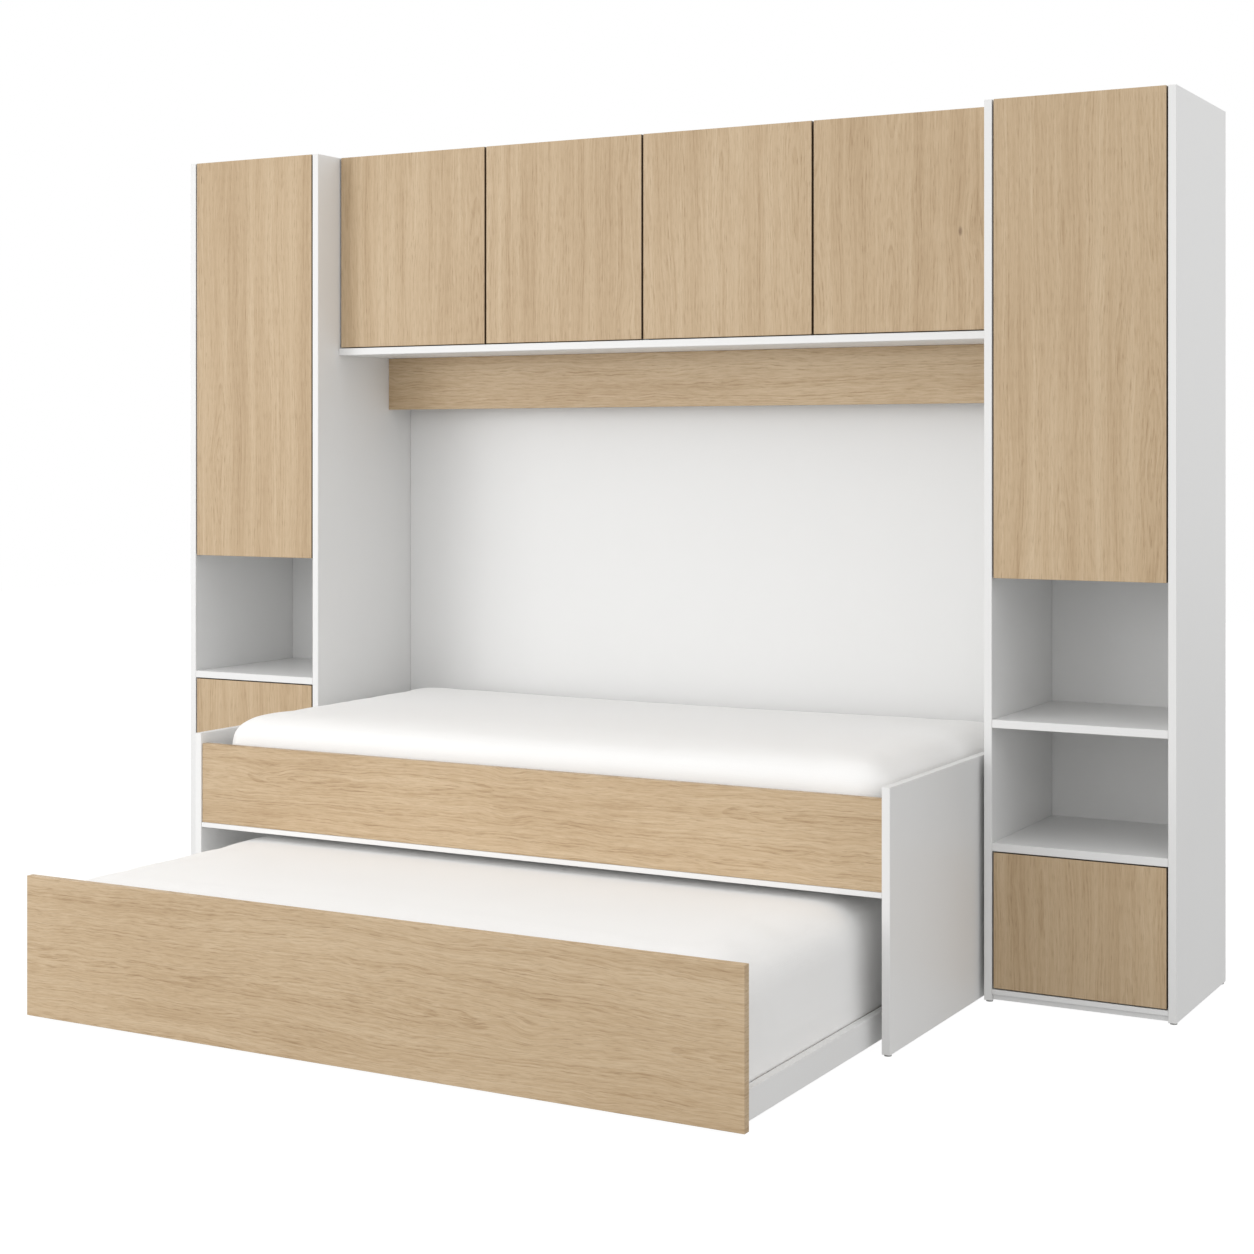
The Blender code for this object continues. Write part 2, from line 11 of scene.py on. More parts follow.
import bpy
import numpy as np
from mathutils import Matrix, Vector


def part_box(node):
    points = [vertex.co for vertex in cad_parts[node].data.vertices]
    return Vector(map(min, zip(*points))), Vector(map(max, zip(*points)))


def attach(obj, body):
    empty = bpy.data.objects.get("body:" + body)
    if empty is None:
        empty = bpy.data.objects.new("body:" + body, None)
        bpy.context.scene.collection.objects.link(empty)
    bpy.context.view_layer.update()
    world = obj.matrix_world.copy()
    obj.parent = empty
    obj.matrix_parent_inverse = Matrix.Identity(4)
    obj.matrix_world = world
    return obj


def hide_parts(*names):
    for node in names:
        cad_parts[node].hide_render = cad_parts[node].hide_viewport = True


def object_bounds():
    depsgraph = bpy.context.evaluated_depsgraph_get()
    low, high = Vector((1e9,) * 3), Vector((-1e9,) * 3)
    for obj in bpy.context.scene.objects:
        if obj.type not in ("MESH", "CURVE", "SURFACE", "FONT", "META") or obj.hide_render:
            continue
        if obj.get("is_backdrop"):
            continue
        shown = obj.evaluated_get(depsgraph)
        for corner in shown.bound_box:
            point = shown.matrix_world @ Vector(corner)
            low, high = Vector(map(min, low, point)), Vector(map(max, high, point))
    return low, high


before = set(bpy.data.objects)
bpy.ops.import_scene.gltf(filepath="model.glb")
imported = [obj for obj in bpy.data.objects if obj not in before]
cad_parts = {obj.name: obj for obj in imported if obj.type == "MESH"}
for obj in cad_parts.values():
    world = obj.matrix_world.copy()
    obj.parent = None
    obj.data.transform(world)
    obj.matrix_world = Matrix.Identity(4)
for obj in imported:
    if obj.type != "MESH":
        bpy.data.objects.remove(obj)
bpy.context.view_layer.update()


# White boards: chipboard faced with white melamine paper under a fine orange-peel press finish, its edges
# taped with white plastic edging that is a touch glossier and scuffs first. The upright panels stand on
# grey plastic glides, and the towers' sides are drilled inside with rows of holes for the shelf pins.
class Tone:
    """A number, colour or vector in a material's nodes. + - * and / on it add Math nodes."""

    def __init__(self, tree, socket=None):
        self.tree = tree
        self.socket = socket

    def node(self, kind, values=None, out=0, stops=None, **settings):
        """Adds a node: its settings and its ramp's stops first, then values or links by socket."""
        made = self.tree.nodes.new("ShaderNode" + kind)
        for name, value in settings.items():
            setattr(made, name, value)
        if stops:
            ends = made.color_ramp.elements
            ends[0].position, ends[0].color = stops[0][0], (*stops[0][1], 1)
            ends[1].position, ends[1].color = stops[-1][0], (*stops[-1][1], 1)
            for place, colour in stops[1:-1]:
                ends.new(place).color = (*colour, 1)
        for socket, value in (values or {}).items():
            if isinstance(value, Tone):
                self.tree.links.new(value.socket, made.inputs[socket])
            else:
                made.inputs[socket].default_value = value
        return Tone(self.tree, made.outputs[out])

    def sum(self, operation, first, second=0.0):
        return self.node("Math", {0: first, 1: second}, operation=operation)

    def __add__(self, other):
        return self.sum("ADD", self, other)

    def __sub__(self, other):
        return self.sum("SUBTRACT", self, other)

    def __rsub__(self, other):
        return self.sum("SUBTRACT", other, self)

    def __mul__(self, other):
        return self.sum("MULTIPLY", self, other)

    def __truediv__(self, other):
        return self.sum("DIVIDE", self, other)

    __radd__ = __add__
    __rmul__ = __mul__

    def wave(self):
        return self.sum("SINE", self)

    def root(self):
        return self.sum("SQRT", self)

    def fold(self, width):
        """Runs up and down between 0 and width."""
        return self.sum("PINGPONG", self, width)

    def size(self):
        """Its distance from zero."""
        return self.sum("ABSOLUTE", self)

    def least(self, other):
        return self.sum("MINIMUM", self, other)

    def most(self, other):
        return self.sum("MAXIMUM", self, other)

    def fade(self, start, end):
        """0 at start, turning smoothly to 1 at end."""
        if start > end:
            return 1 - self.fade(end, start)
        return self.node("MapRange", {0: self, 1: start, 2: end}, interpolation_type="SMOOTHSTEP")

    def part(self, axis):
        return self.node("SeparateXYZ", {0: self}, out="XYZ".index(axis))

    def noise(self, scale, detail=2.0, roughness=0.5):
        """Cloudy noise between about 0.2 and 0.8, with scale cells to a metre along each of three axes."""
        stretched = self.node("Mapping", {"Vector": self, "Scale": scale})
        values = {"Vector": stretched, "Scale": 1.0, "Detail": detail, "Roughness": roughness}
        return self.node("TexNoise", values)

    def blend(self, first, second):
        """The first colour where this is 0, the second where it is 1."""
        return self.node("Mix", {0: self, 6: first, 7: second}, out=2, data_type="RGBA")


def start_finish(name, specular=0.5):
    """A new Principled material: itself, its shader, and the Object coordinates that its pattern reads."""
    made = bpy.data.materials.new(name)
    made.use_nodes = True
    shader = made.node_tree.nodes["Principled BSDF"]
    shader.inputs["Specular IOR Level"].default_value = specular
    place = Tone(made.node_tree).node("TexCoord", out=3)
    return made, shader, place


def finish_with(shader, colour, roughness, height, relief, metallic=0.0):
    """Joins the colour, the roughness and the surface's height, relief metres high, to the shader."""
    tree = shader.id_data
    bump = colour.node("Bump", {"Height": height, "Distance": relief, "Strength": 1.0})
    tree.links.new(colour.socket, shader.inputs["Base Color"])
    tree.links.new(roughness.socket, shader.inputs["Roughness"])
    tree.links.new(bump.socket, shader.inputs["Normal"])
    shader.inputs["Metallic"].default_value = metallic


def near_edge(place, board, width):
    """1 on a board's edges, falling to 0 a width in.

    It reads the middle one of the distances to the board's three pairs of faces.
    """
    low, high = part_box(board)
    gaps = []
    for i, axis in enumerate("XYZ"):
        gaps.append((high[i] - low[i]) / 2 - (place.part(axis) - (high[i] + low[i]) / 2).size())
    middle = gaps[0].least(gaps[1]).most(gaps[0].most(gaps[1]).least(gaps[2]))
    return middle.fade(width, 0)


FRONT_ROW, BACK_ROW = 0.037, 0.050  # rows of holes, from the panel's front and back edges


def melamine(board, inside=0):
    """White board. Its drilled face is the one at high X, low X or neither, as inside is 1, -1 or 0."""
    made, shader, place = start_finish("white_melamine_" + board)
    cloud = place.noise((3, 3, 3), 3)
    peel = place.noise((700, 700, 700), 2)
    rub = place.noise((60, 60, 60), 4, 0.7)
    edge = near_edge(place, board, 0.0016)
    colour = cloud.blend((0.795, 0.795, 0.79, 1), (0.825, 0.823, 0.815, 1))
    colour = (edge * rub).blend(colour, (0.74, 0.735, 0.72, 1))
    roughness = 0.36 + 0.1 * cloud + 0.05 * peel - 0.08 * edge + 0.12 * rub.fade(0.55, 0.75)
    height = peel
    low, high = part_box(board)
    if low.z < 0.001:
        glide = place.part("Z").fade(0.0046, 0.0038)
        colour = glide.blend(colour, (0.42, 0.42, 0.41, 1))
        roughness = roughness + 0.15 * glide
    if inside:
        face = low.x if inside < 0 else high.x
        y, z = place.part("Y"), place.part("Z")
        row = (y - (low.y + FRONT_ROW)).size().least((y - (high.y - BACK_ROW)).size())
        step = z.fold(0.016)
        out = row * row + step * step
        # The pin holes are dipped in by the bump, and their near-black colour is painted shade for the dark
        # inside of each hole.
        hole_with_painted_shade = out.fade(0.0028**2, 0.0024**2) * z.fade(1.0988, 1.099) * z.fade(2.0012, 2.001)
        hole_with_painted_shade = hole_with_painted_shade * (place.part("X") - face).size().fade(0.0012, 0.001)
        colour = hole_with_painted_shade.blend(colour, (0.03, 0.025, 0.02, 1))
        height = height - 6 * hole_with_painted_shade
    if "back" in board and high.y - low.y < 0.005:
        raw = place.part("Y").fade(high.y - 0.0008, high.y - 0.0003)
        fibre = place.noise((420, 420, 420), 4, 0.7)
        bare = (0.7 * fibre + 0.5 * cloud).blend((0.47, 0.37, 0.26, 1), (0.32, 0.235, 0.155, 1))
        colour = raw.blend(colour, bare)
        roughness = roughness + 0.35 * raw
        height = height + 3 * raw * fibre
    finish_with(shader, colour, roughness, height, 0.00004)
    return made


sorts = {name: node.data.materials[0].name.split(".")[0] for name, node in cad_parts.items()}
for name, sort in sorts.items():
    if sort == "white_melamine":
        drilled = {"left_tower_outer_side": 1, "left_tower_inner_side": -1}
        drilled |= {"right_tower_inner_side": 1, "right_tower_outer_side": -1}
        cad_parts[name].data.materials[0] = melamine(name, drilled.get(name, 0))


# Doors and fronts: the same board faced with an oak print, whose growth rings run as nested arches between
# straighter grain, under a pore-textured press plate. Doors and drawer fronts have upright grain. The two
# beds' fronts and the rail under the bridge have it along their length, and every edge is taped with oak.
def oak(board, along, start):
    """Growth rings are circles about a heart that dips in and out of the face.

    ring = sqrt(across^2 + depth^2), with both folded.
    """
    made, shader, place = start_finish("oak_melamine_" + board, 0.4)
    across, wild = ("X", 0.0) if along == "Z" else ("Z", 1.0)
    flat = place.node(
        "CombineXYZ", {0: place.part(across) + start, 1: place.part(along) + 3 * start, 2: place.part("Y")}
    )
    cells = flat.node("Mapping", {"Vector": flat, "Scale": (3.4 + 2.0 * wild, 1.5 + wild, 0)})
    knot = cells.node("TexVoronoi", {"Vector": cells, "Scale": 1.0, "Randomness": 1.0}, feature="F1")
    grain = flat.part("X") + 0.06 * flat.noise((5, 1.1, 1), 2) + 0.012 * knot.fade(0.22, 0.0)
    grain = grain + (0.004 + 0.007 * wild) * flat.noise((14, 7 + 4 * wild, 1), 2)
    stave = grain.fold(0.105)
    depth = flat.part("Y") * 0.05 + 0.16 * flat.noise((3.1, 0.9, 1), 1)
    depth = 0.004 + depth.fold(0.036)
    ring = stave * stave + depth * depth
    ring = (ring.root() + 0.005 * flat.noise((22, 5, 1), 2)) / 0.0075
    phase = ring.sum("FRACT", ring)
    line = phase.fade(0.1, 0.9) * phase.fade(1.0, 0.92)
    strength = ring.node("TexNoise", {"W": ring * 0.45, "Scale": 1.0, "Detail": 1.0}, noise_dimensions="1D")
    curved = flat.node("CombineXYZ", {0: grain, 1: flat.part("Y"), 2: flat.part("Z")})
    patch = curved.noise((5, 1.6, 1), 2)
    broad = curved.noise((30, 0.5, 1), 3)
    streak = curved.noise((150, 2.6, 20), 3, 0.6)
    dash = curved.noise((380, 13 + 6 * wild, 60), 3, 0.65)
    fine = curved.noise((1000, 30, 120), 2)
    line = line * strength.fade(0.3, 0.7) * dash.fade(0.3, 0.6)
    pore = curved.noise((760, 34, 150), 1).fade(0.57, 0.67) * (0.45 + 0.55 * line)
    dark = (0.26 + 0.1 * wild) * line + (0.35 + 0.3 * wild) * patch + (0.85 - 0.2 * wild) * broad
    dark = dark + 0.6 * streak + (0.5 + 0.5 * wild) * dash + 0.25 * fine - (0.985 + 0.34 * wild)
    stops = [
        (0.0, (0.605, 0.462, 0.300)),
        (0.35, (0.525, 0.383, 0.233)),
        (0.65, (0.445, 0.310, 0.177)),
        (1.0, (0.310, 0.200, 0.100)),
    ]
    colour = dark.node("ValToRGB", {0: dark}, stops=stops)
    colour = (0.5 * pore).blend(colour, (0.26, 0.165, 0.085, 1))
    heart = knot.fade(0.024, 0.008)
    colour = (0.7 * heart).blend(colour, (0.17, 0.10, 0.05, 1))
    edge = near_edge(place, board, 0.0012)
    colour = (0.5 * edge * dash).blend(colour, (0.60, 0.47, 0.33, 1))
    # Painted shade: on doors and drawer fronts, the side and end edges more than about a millimetre behind
    # the front face are darkened nearly to black, standing in for the shade in the gaps between neighbouring
    # fronts.
    if "door" in board or "drawer" in board:
        low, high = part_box(board)
        side = (place.part("X") - (low.x + high.x) / 2).size() - (high.x - low.x) / 2
        end = (place.part("Z") - (low.z + high.z) / 2).size() - (high.z - low.z) / 2
        painted_gap_shade = side.most(end).fade(-0.0008, -0.0003) * place.part("Y").fade(low.y + 0.0005, low.y + 0.0015)
        colour = (0.85 * painted_gap_shade).blend(colour, (0.085, 0.052, 0.028, 1))
    roughness = 0.42 + 0.12 * dash + 0.2 * pore - 0.06 * edge
    finish_with(shader, colour, roughness, 0.5 * fine - pore - 0.4 * line, 0.00012)
    return made


oak_boards = [name for name, sort in sorts.items() if sort == "oak_melamine"]
for i, name in enumerate(sorted(oak_boards)):
    lengthwise = name in ("bed_front", "trundle_front", "bridge_rail")
    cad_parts[name].data.materials[0] = oak(name, "X" if lengthwise else "Z", 0.37 * i + 0.11)


# Slatted bases: unfinished beech frames and slats with fine fibre, short darker rays and a planed sheen.
def beech(base):
    made, shader, place = start_finish("slat_wood_" + base, 0.35)
    broad = place.noise((9, 1.2, 20), 3)
    fibre = place.noise((160, 6, 160), 3, 0.6)
    ray = place.noise((700, 130, 700), 1).fade(0.6, 0.7)
    edge = near_edge(place, base, 0.004)
    dark = 0.5 * broad + 0.5 * fibre
    stops = [(0.25, (0.67, 0.50, 0.33)), (0.55, (0.58, 0.41, 0.25)), (0.8, (0.48, 0.32, 0.18))]
    colour = dark.node("ValToRGB", {0: dark}, stops=stops)
    colour = (0.35 * ray).blend(colour, (0.36, 0.22, 0.12, 1))
    colour = (0.3 * edge).blend(colour, (0.44, 0.30, 0.18, 1))
    finish_with(shader, colour, 0.5 + 0.2 * fibre, fibre - 0.5 * ray, 0.0002)
    return made


for name, sort in sorts.items():
    if sort == "slat_wood":
        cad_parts[name].data.materials[0] = beech(name)


# Trundle's brackets and their axles: zinc-plated sheet steel with a fine rolled grain, faint blue and yellow
# patches in the plating, and duller rubbed marks. The same plating is on every small fitting below.
def zinc(name):
    made, shader, place = start_finish(name)
    rolled = place.noise((60, 1500, 1500), 2)
    patch = place.noise((45, 45, 45), 2)
    rub = place.noise((300, 300, 300), 3, 0.7).fade(0.5, 0.75)
    colour = patch.blend((0.60, 0.62, 0.66, 1), (0.68, 0.66, 0.60, 1))
    colour = (0.4 * rub).blend(colour, (0.45, 0.45, 0.45, 1))
    finish_with(shader, colour, 0.26 + 0.14 * rolled + 0.2 * rub, rolled, 0.00003, 1.0)
    return made


plating = zinc("zinc_plating")
for name, sort in sorts.items():
    if sort == "caster_steel":
        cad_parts[name].data.materials[0] = plating


# Casters: moulded black nylon wheels. The sides keep the mould's fine texture, and the tread is polished
# and dusty where it rolls.
def nylon(wheel):
    made, shader, place = start_finish("wheel_plastic_" + wheel)
    low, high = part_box(wheel)
    y = place.part("Y") - (low.y + high.y) / 2
    z = place.part("Z") - (low.z + high.z) / 2
    out = (y * y + z * z).root()
    radius = (high.z - low.z) / 2
    tread = out.fade(radius - 0.0022, radius - 0.0004)
    grit = place.noise((900, 900, 900), 3, 0.7)
    dust = place.noise((120, 120, 120), 3).fade(0.4, 0.7) * tread
    turned_line = (out * 900).wave()
    colour = grit.blend((0.018, 0.018, 0.019, 1), (0.04, 0.04, 0.042, 1))
    colour = (0.6 * dust).blend(colour, (0.20, 0.19, 0.17, 1))
    finish_with(shader, colour, 0.5 - 0.15 * tread + 0.2 * grit, grit + 0.2 * turned_line, 0.00008)
    return made


for name, sort in sorts.items():
    if sort == "wheel_plastic":
        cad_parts[name].data.materials[0] = nylon(name)


# Mattresses: foam under a smooth white knitted cover, with large soft edges and a slight crown. Each starts
# from its CAD block, drawn in a little, and is blown up against a limit with cloth simulation, so that the
# cover is rounder over its long edges, pulls in at its corners and lies flat on the slats.
def jersey(name):
    made, shader, place = start_finish(name, 0.25)
    shader.inputs["Sheen Weight"].default_value = 0.25
    shader.inputs["Sheen Roughness"].default_value = 0.4
    loops = 2 * math.pi / 0.0026
    waves = [(place.part(axis) * loops).wave() for axis in "XYZ"]
    knit = waves[0] * waves[1] + waves[1] * waves[2] + waves[2] * waves[0]
    soft = place.noise((5, 5, 5), 2)
    fluff = place.noise((500, 500, 500), 3, 0.6)
    rib = place.noise((26, 3, 26), 2)
    colour = (0.5 * soft + 0.5 * fluff).blend((0.885, 0.88, 0.87, 1), (0.925, 0.92, 0.91, 1))
    # Painted shade: the cover is a little darker where the knit's bump dips, between the loops.
    colour = (0.12 * knit.fade(0.2, -0.8)).blend(colour, (0.78, 0.775, 0.76, 1))
    finish_with(shader, colour, 0.86 + 0.1 * fluff, 0.12 * knit + 0.3 * fluff + 5 * soft + 1.2 * rib, 0.0006)
    return made


def soft_mattress(name, node, body):
    """The CAD block's own surface, remeshed, drawn in, blown up and limited, then smoothed and squared.

    Each point moves by push * limit / far * tanh(far / limit), and no lower than the block's base. Towards
    the base's edge the round section (across, down) is drawn out to a superellipse of the sixth power.
    """
    low, high = (np.array(corner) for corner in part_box(node))
    middle = (low + high) / 2
    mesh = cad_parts[node].data.copy()
    made = bpy.data.objects.new(name, mesh)
    bpy.context.scene.collection.objects.link(made)
    bpy.context.view_layer.objects.active = made
    weld = made.modifiers.new("weld", "WELD")
    weld.merge_threshold = 0.00005
    grid = made.modifiers.new("grid", "REMESH")
    grid.mode = "VOXEL"
    grid.voxel_size = 0.016
    ease = made.modifiers.new("ease", "SMOOTH")
    ease.iterations = 6
    for step in ("weld", "grid", "ease"):
        bpy.ops.object.modifier_apply(modifier=step)
    count = len(mesh.vertices)
    rest, blown = np.empty(count * 3), np.empty(count * 3)
    made.data.vertices.foreach_get("co", rest)
    rest = rest.reshape(-1, 3)
    draw = np.array([0.008, 0.008, 0.006])
    rest = middle + (rest - middle) * (1 - 2 * draw / (high - low))
    rest[:, 2] -= draw[2] * (1 - (rest[:, 2] - low[2]) / (high[2] - low[2])) * 0.9
    made.data.vertices.foreach_set("co", rest.ravel())
    cover = made.modifiers.new("cover", "CLOTH")
    cover.settings.quality = 6
    cover.settings.mass = 0.4
    cover.settings.tension_stiffness = 18
    cover.settings.compression_stiffness = 18
    cover.settings.bending_stiffness = 3
    cover.settings.use_pressure = True
    cover.settings.uniform_pressure_force = 4
    cover.settings.effector_weights.gravity = 0
    for step in range(1, 21):
        bpy.context.scene.frame_set(step)
    bpy.ops.object.modifier_apply(modifier="cover")
    made.data.vertices.foreach_get("co", blown)
    push = blown.reshape(-1, 3) - rest
    far = np.linalg.norm(push, axis=1, keepdims=True) + 1e-9
    limit = 0.012
    rest = rest + push / far * limit * np.tanh(far / limit)
    rest[:, 2] = np.maximum(rest[:, 2], low[2])
    made.data.vertices.foreach_set("co", rest.ravel())
    even = made.modifiers.new("even", "SMOOTH")
    even.iterations = 3
    bpy.ops.object.modifier_apply(modifier="even")
    made.data.vertices.foreach_get("co", blown)
    blown = blown.reshape(-1, 3)
    inset, crown, reach = 0.0005, 0.005, 0.08
    span = (blown.max(0) - blown.min(0)) / (high - low + [-2 * inset, -2 * inset, crown])
    blown = (blown - blown.min(0)) / span + low + [inset, inset, 0]
    for side in (0, 1):
        edge = np.where(blown[:, side] > middle[side], high[side] - inset, low[side] + inset)
        across = np.clip(1 - np.abs(edge - blown[:, side]) / reach, 1e-6, 1)
        down = np.clip(1 - (blown[:, 2] - low[2]) / reach, 1e-6, 1)
        square = np.hypot(across, down) / (across**6 + down**6) ** (1 / 6)
        near = (across > 1e-5) & (down > 1e-5)
        inward = np.sign(middle[side] - edge) * reach * (1 - np.minimum(across * square, 1))
        blown[:, side] = np.where(near, edge + inward, blown[:, side])
        blown[:, 2] = np.where(near, low[2] + reach * (1 - np.minimum(down * square, 1)), blown[:, 2])
    made.data.vertices.foreach_set("co", blown.ravel())
    made.data.update()
    fine = made.modifiers.new("fine", "SUBSURF")
    fine.levels = fine.render_levels = 1
    made.data.shade_smooth()
    made.data.materials.clear()
    made.data.materials.append(jersey("mattress_cover_" + name))
    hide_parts(node)
    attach(made, body)
    return made


soft_mattress("bed_soft_mattress", "bed_mattress", "carcass")
soft_mattress("trundle_soft_mattress", "trundle_mattress", "trundle")
bpy.context.scene.frame_set(1)


# Concealed hinges: each door hangs on pressed steel hinges. A cup with a flange is let into the door's back
# and screwed on, and a cranked arm is clipped to a plate that is screwed to the side panel.
def turned(outline, centre, axis, steps=24):
    """Points (radius, height) of the outline go round a circle: centre + height * axis + radius * spoke.

    The first and last points are on the axis. Heights grow outwards, so the faces look outwards.
    """
    outline = np.array(outline, float)
    axis = np.array(axis, float)
    spoke = np.roll(axis, 1)
    other = np.cross(axis, spoke)
    turn = np.linspace(0, 2 * np.pi, steps, endpoint=False)
    spokes = np.outer(np.cos(turn), spoke) + np.outer(np.sin(turn), other)
    rings = outline[1:-1]
    points = rings[:, None, 1:] * axis + rings[:, None, :1] * spokes
    points = np.vstack([points.reshape(-1, 3), outline[0, 1] * axis, outline[-1, 1] * axis]) + centre
    ring = np.arange(steps)
    after = np.roll(ring, -1)
    start = np.arange(len(rings) - 1)[:, None] * steps
    walls = np.stack([start + ring, start + after, start + steps + after, start + steps + ring], -1)
    walls = walls.reshape(-1, 4)
    foot = len(rings) * steps
    last = foot - steps
    fans = np.stack([np.full(steps, foot), after, ring], -1)
    caps = np.stack([np.full(steps, foot + 1), last + ring, last + after], -1)
    return points, [*walls.tolist(), *fans.tolist(), *caps.tolist()]


def carried(section, path, up):
    """A closed section (beside, above) set square at each point of a path, with flat ends.

    point = path + beside * side + above * lift, where side = travel x up and lift = side x travel.
    """
    section, path = np.array(section, float), np.array(path, float)
    travel = np.gradient(path, axis=0)
    travel /= np.linalg.norm(travel, axis=1, keepdims=True)
    side = np.cross(travel, np.array(up, float))
    side /= np.linalg.norm(side, axis=1, keepdims=True)
    lift = np.cross(side, travel)
    points = path[:, None] + section[:, 0][:, None] * side[:, None] + section[:, 1][:, None] * lift[:, None]
    n = len(section)
    ring = np.arange(n)
    after = np.roll(ring, -1)
    start = np.arange(len(path) - 1)[:, None] * n
    walls = np.stack([start + ring, start + n + ring, start + n + after, start + after], -1).reshape(-1, 4)
    last = (len(path) - 1) * n
    return points.reshape(-1, 3), [*walls.tolist(), ring.tolist(), (last + ring[::-1]).tolist()]


def rounded(width, height, corner, steps=3):
    """A rectangle's outline with round corners: each corner's centre plus corner * (cos a, sin a)."""
    turn = np.linspace(0, np.pi / 2, steps + 1)
    quarter = np.stack([np.cos(turn), np.sin(turn)], -1) * corner
    half = np.array([width / 2 - corner, height / 2 - corner])
    quarters = [half + quarter, half * (-1, 1) + quarter[:, ::-1] * (-1, 1)]
    quarters += [half * (-1, -1) - quarter, half * (1, -1) + quarter[:, ::-1] * (1, -1)]
    return np.vstack(quarters)


def fitting(name, forms, finish, body):
    """One piece from several forms, at the origin, riding on a body."""
    points, faces, count = [], [], 0
    for form_points, form_faces in forms:
        points.append(form_points)
        faces += [[corner + count for corner in face] for face in form_faces]
        count += len(form_points)
    mesh = bpy.data.meshes.new(name)
    mesh.from_pydata(np.vstack(points).tolist(), [], faces)
    mesh.shade_smooth()
    mesh.set_sharp_from_angle(angle=math.radians(35))
    made = bpy.data.objects.new(name, mesh)
    bpy.context.scene.collection.objects.link(made)
    mesh.materials.append(finish)
    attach(made, body)
    return made


def screw_head(centre, axis):
    """A pan head with a recess: a low dome of 3.6 mm radius."""
    outline = [(0, -0.0004), (0.0036, -0.0004), (0.0037, 0.0006), (0.0030, 0.0015), (0.0015, 0.0018)]
    outline += [(0.0011, 0.0009), (0, 0.0007)]
    return turned(outline, centre, axis, 16)


CUP_INSET = 0.0225
# Each door's body, its hinged edge, the panel that it hangs on, and its hinges' heights above its lower edge
doors = {
    "left_tower_door": ("left_door", -1, "left_tower_outer_side", (0.10, 0.62, 1.01)),
    "right_tower_door": ("right_door", 1, "right_tower_outer_side", (0.10, 0.62, 1.01)),
    "right_tower_cupboard_door": ("cupboard_door", 1, "right_tower_outer_side", (0.07, 0.24)),
    "bridge_door_1": ("bridge_door_1", -1, "bridge_left_side", (0.09, 0.43)),
    "bridge_door_2": ("bridge_door_2", 1, "bridge_partition", (0.09, 0.43)),
    "bridge_door_3": ("bridge_door_3", -1, "bridge_partition", (0.09, 0.43)),
    "bridge_door_4": ("bridge_door_4", 1, "bridge_right_side", (0.09, 0.43)),
}
for door, (body, edge, panel, heights) in doors.items():
    low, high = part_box(door)
    back = high.y
    hinge_x = high.x if edge > 0 else low.x
    cup_x = hinge_x - edge * CUP_INSET
    panel_low, panel_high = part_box(panel)
    wall = panel_low.x if edge > 0 else panel_high.x
    cups, arms = [], []
    for height in heights:
        z = low.z + height
        dish = [(0, 0.0001), (0.0125, 0.0001), (0.0140, 0.0010), (0.0172, 0.0012), (0.0176, 0.0008)]
        dish = [(0, -0.0005), (0.0176, -0.0005), *dish[::-1]]
        cups.append(turned(dish, (cup_x, back, z), (0, 1, 0), 32))
        flange = rounded(0.013, 0.062, 0.005)
        flange_x = cup_x + edge * 0.009
        cups.append(carried(flange, [(flange_x, back - 0.0003, z), (flange_x, back + 0.0009, z)], (0, 0, 1)))
        for lift in (-0.024, 0.024):
            cups.append(screw_head((flange_x, back + 0.0009, z + lift), (0, 1, 0)))
        foot = wall - edge * 0.0003
        plate = rounded(0.048, 0.020, 0.006)
        y = back + 0.056
        arms.append(carried(plate, [(foot, y, z), (foot - edge * 0.0035, y, z)], (0, 0, 1)))
        for lift in (-0.0065, 0.0065):
            arms.append(screw_head((foot - edge * 0.0035, y + 0.018, z + lift), (-edge, 0, 0)))
        near = foot - edge * 0.009
        bend = cup_x + edge * 0.004
        arm = [(near, back + 0.072, z), (near, back + 0.036, z), (near, back + 0.026, z)]
        arm += [(bend, back + 0.012, z), (bend - edge * 0.003, back + 0.006, z)]
        arms.append(carried(rounded(0.0075, 0.0145, 0.002), arm, (0, 0, 1)))
    fitting(door + "_hinge_cups", cups, plating, body)
    fitting(door + "_hinge_arms", arms, plating, "carcass")


# Drawer runners: ball-bearing slides of folded steel. The outer channel is screwed to the tower's side and
# the inner channel to the drawer's box, and it slides out with the drawer.
for drawer in ("lower_drawer", "upper_drawer"):
    low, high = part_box(drawer + "_box")
    z = low.z + 0.055
    outer, inner = [], []
    for side in (-1, 1):
        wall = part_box("left_tower_outer_side")[1].x if side < 0 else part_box("left_tower_inner_side")[0].x
        box_face = low.x if side < 0 else high.x
        channel = [(0, -0.0225), (0.0095, -0.0225), (0.0095, -0.0190), (0.0082, -0.0190), (0.0082, -0.0213)]
        channel += [(0.0012, -0.0213), (0.0012, 0.0213), (0.0082, 0.0213), (0.0082, 0.0190), (0.0095, 0.0190)]
        channel += [(0.0095, 0.0225), (0, 0.0225)]
        channel = np.array(channel)
        web = wall - side * 0.0002
        start, end = (low.y + 0.004, high.y + 0.008)
        inner_web = box_face + side * 0.0002
        for x, facing, scale, forms in ((web, -side, 1.0, outer), (inner_web, side, 0.72, inner)):
            section = channel * scale * (facing, 1)
            path = [(x, start, z), (x, end, z)]
            if facing < 0:
                section = section[::-1]
            forms.append(carried(section, path, (0, 0, 1)))
            for along in (0.03, 0.2, 0.34):
                forms.append(screw_head((x + facing * 0.0013 * scale, start + along, z), (facing, 0, 0)))
    fitting(drawer + "_outer_runners", outer, plating, "carcass")
    fitting(drawer + "_inner_runners", inner, plating, drawer)


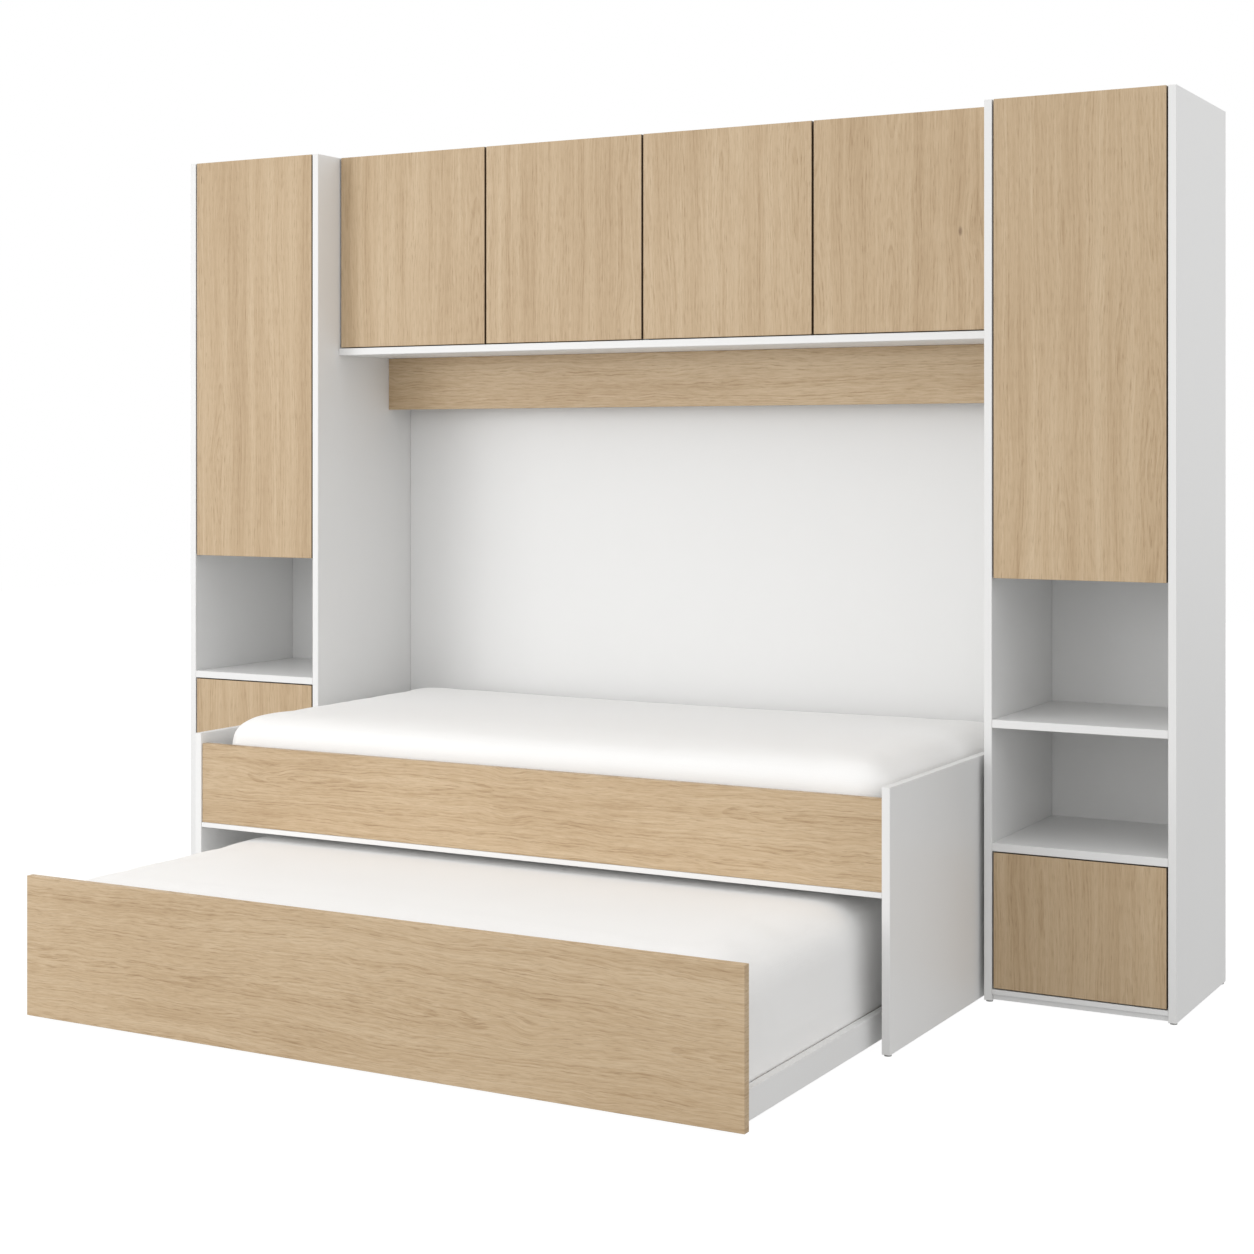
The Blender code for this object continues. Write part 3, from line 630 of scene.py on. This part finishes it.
# Push latches: the doors have no handles, so a white plastic latch behind each door's free edge holds it by a
# small disc and springs it open when it is pushed. Its body is screwed up under the board above it.
def moulded(name):
    made, shader, place = start_finish(name, 0.45)
    grit = place.noise((1100, 1100, 1100), 3, 0.7)
    flow = place.noise((70, 20, 70), 2)
    colour = flow.blend((0.74, 0.74, 0.73, 1), (0.80, 0.80, 0.79, 1))
    finish_with(shader, colour, 0.38 + 0.15 * grit + 0.08 * flow, grit, 0.00004)
    return made


white_plastic = moulded("latch_plastic")
ceilings = {"left_tower_door": "left_tower_top", "right_tower_door": "right_tower_top"}
ceilings["right_tower_cupboard_door"] = "right_tower_cupboard_top"
for door, (body, edge, panel, heights) in doors.items():
    low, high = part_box(door)
    free_x = (low.x if edge > 0 else high.x) + edge * 0.045
    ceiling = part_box(ceilings.get(door, "bridge_top"))[0].z
    start, z = high.y + 0.0025, ceiling - 0.0064
    case = rounded(0.014, 0.012, 0.0025)
    forms = [carried(case, [(free_x, start, z), (free_x, start + 0.074, z)], (0, 0, 1))]
    rim = [(0, -0.0005), (0.0042, -0.0005), (0.0045, 0.0010), (0.0040, 0.0020), (0, 0.0021)]
    forms.append(turned(rim, (free_x, start, z), (0, -1, 0)))
    for along in (0.016, 0.060):
        forms.append(screw_head((free_x, start + along, z - 0.0059), (0, 0, -1)))
    fitting(door + "_push_latch", forms, white_plastic, "carcass")


# Shelf pins and bracket screws: each wardrobe shelf lies on four zinc-plated pins in the drilled rows, and
# two screws hold each caster's bracket to the trundle's side board.
for tower, sides in (("left", ("outer", "inner")), ("right", ("inner", "outer"))):
    shelf_low, shelf_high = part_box(tower + "_tower_wardrobe_shelf")
    pins = []
    for facing, side in zip((1, -1), sides):
        wall_low, wall_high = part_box(tower + "_tower_" + side + "_side")
        wall = wall_high.x if facing > 0 else wall_low.x
        for y in (max(wall_low.y + FRONT_ROW, shelf_low.y + 0.012), wall_high.y - BACK_ROW):
            pin = [(0, -0.0004), (0.0040, -0.0004), (0.0040, 0.0010), (0.0025, 0.0012)]
            pin += [(0.0025, 0.0085), (0, 0.0095)]
            pins.append(turned(pin, (wall, y, shelf_low.z - 0.0043), (facing, 0, 0), 16))
    fitting(tower + "_wardrobe_shelf_pins", pins, plating, "carcass")
for corner in ("front_left", "front_right", "back_left", "back_right"):
    low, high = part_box("trundle_bracket_" + corner)
    facing = 1 if "left" in corner else -1
    face = low.x + 0.003 if facing > 0 else high.x - 0.003
    y = (low.y + high.y) / 2
    screws = [screw_head((face, y + lift, high.z - 0.008), (facing, 0, 0)) for lift in (-0.020, 0.020)]
    fitting("trundle_bracket_" + corner + "_screws", screws, plating, "trundle")


# Back panels' nails: zinc-plated round heads. The thin fibreboard backs are nailed to the boards in front of
# them all the way round.
for back in [name for name in sorts if "back" in name]:
    low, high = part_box(back)
    if high.y - low.y > 0.005:
        continue
    across = np.linspace(low.x + 0.010, high.x - 0.010, max(2, round((high.x - low.x) / 0.18)))
    upward = np.linspace(low.z + 0.010, high.z - 0.010, round((high.z - low.z) / 0.18))
    spots = [(x, z) for x in across for z in upward[[0, -1]]]
    spots += [(x, z) for x in across[[0, -1]] for z in upward[1:-1]]
    head = [(0, -0.0004), (0.0026, -0.0004), (0.0026, 0.0003), (0.0020, 0.0006), (0, 0.0007)]
    nails = [turned(head, (x, high.y, z), (0, 1, 0), 12) for x, z in spots]
    fitting(back + "_nails", nails, plating, "carcass")


# Lights, floor and camera: a pale room with an even glow all round and two large soft lamps in front, to
# the left, one higher than the other. The camera stands to the right of the bed at chest height and looks
# level. The floor glows more for the camera than for the bed, so that it reads as white paper.
scene = bpy.context.scene
scene.view_settings.view_transform = "Standard"
glow = bpy.data.worlds.new("pale_room")
scene.world = glow
glow.use_nodes = True
glow.node_tree.nodes["Background"].inputs["Color"].default_value = (1, 1, 1, 1)


def soft_lamp(name, place, aim, width, height, power):
    """A rectangular lamp at a place, turned to face its aim."""
    lamp = bpy.data.lights.new(name, "AREA")
    lamp.shape = "RECTANGLE"
    lamp.size, lamp.size_y = width, height
    lamp.energy = power
    made = bpy.data.objects.new(name, lamp)
    scene.collection.objects.link(made)
    made.location = place
    ray = np.array(aim) - place
    made.rotation_euler = (math.acos(-ray[2] / np.linalg.norm(ray)), 0, math.atan2(-ray[0], ray[1]))


soft_lamp("front_lamp", (-2.4, -5.3, 2.1), (0.1, 0.2, 1.0), 3.6, 2.4, 58)
soft_lamp("side_lamp", (-3.6, -4.4, 1.3), (0.1, 0.2, 1.0), 3.0, 2.0, 53)

ground = bpy.data.meshes.new("pale_floor")
ground.from_pydata([(-12, -12, 0), (12, -12, 0), (12, 12, 0), (-12, 12, 0)], [], [(0, 1, 2, 3)])
pale_floor = bpy.data.objects.new("pale_floor", ground)
scene.collection.objects.link(pale_floor)
pale = bpy.data.materials.new("pale_floor")
pale.use_nodes = True
tree = pale.node_tree
speckle = Tone(tree).node("TexCoord", out=3).noise((40, 40, 40), 3)
paint = speckle.blend((0.90, 0.90, 0.90, 1), (0.93, 0.93, 0.93, 1))
plain = paint.node("BsdfDiffuse", {"Color": paint})
light = paint.node("Emission", {"Color": (1, 1, 1, 1), "Strength": 0.42 + 0.7 * paint.node("LightPath")})
mixed = paint.node("MixShader", {0: 0.15, 1: light, 2: plain})
tree.nodes.remove(tree.nodes["Principled BSDF"])
tree.links.new(mixed.socket, tree.nodes["Material Output"].inputs["Surface"])
ground.materials.append(pale)
pale_floor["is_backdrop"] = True

tower_low, tower_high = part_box("right_tower_outer_side")
view = bpy.data.cameras.new("view")
view.sensor_width = 36
view.lens = 62.88
view.shift_x = -0.0016
view.shift_y = -0.1397
camera = bpy.data.objects.new("view", view)
scene.collection.objects.link(camera)
camera.location = (tower_high.x + 1.2846, tower_low.y - 4.8675, 1.2801)
camera.rotation_euler = (math.radians(90), 0, math.radians(28.82))
scene.camera = camera

low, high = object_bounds()
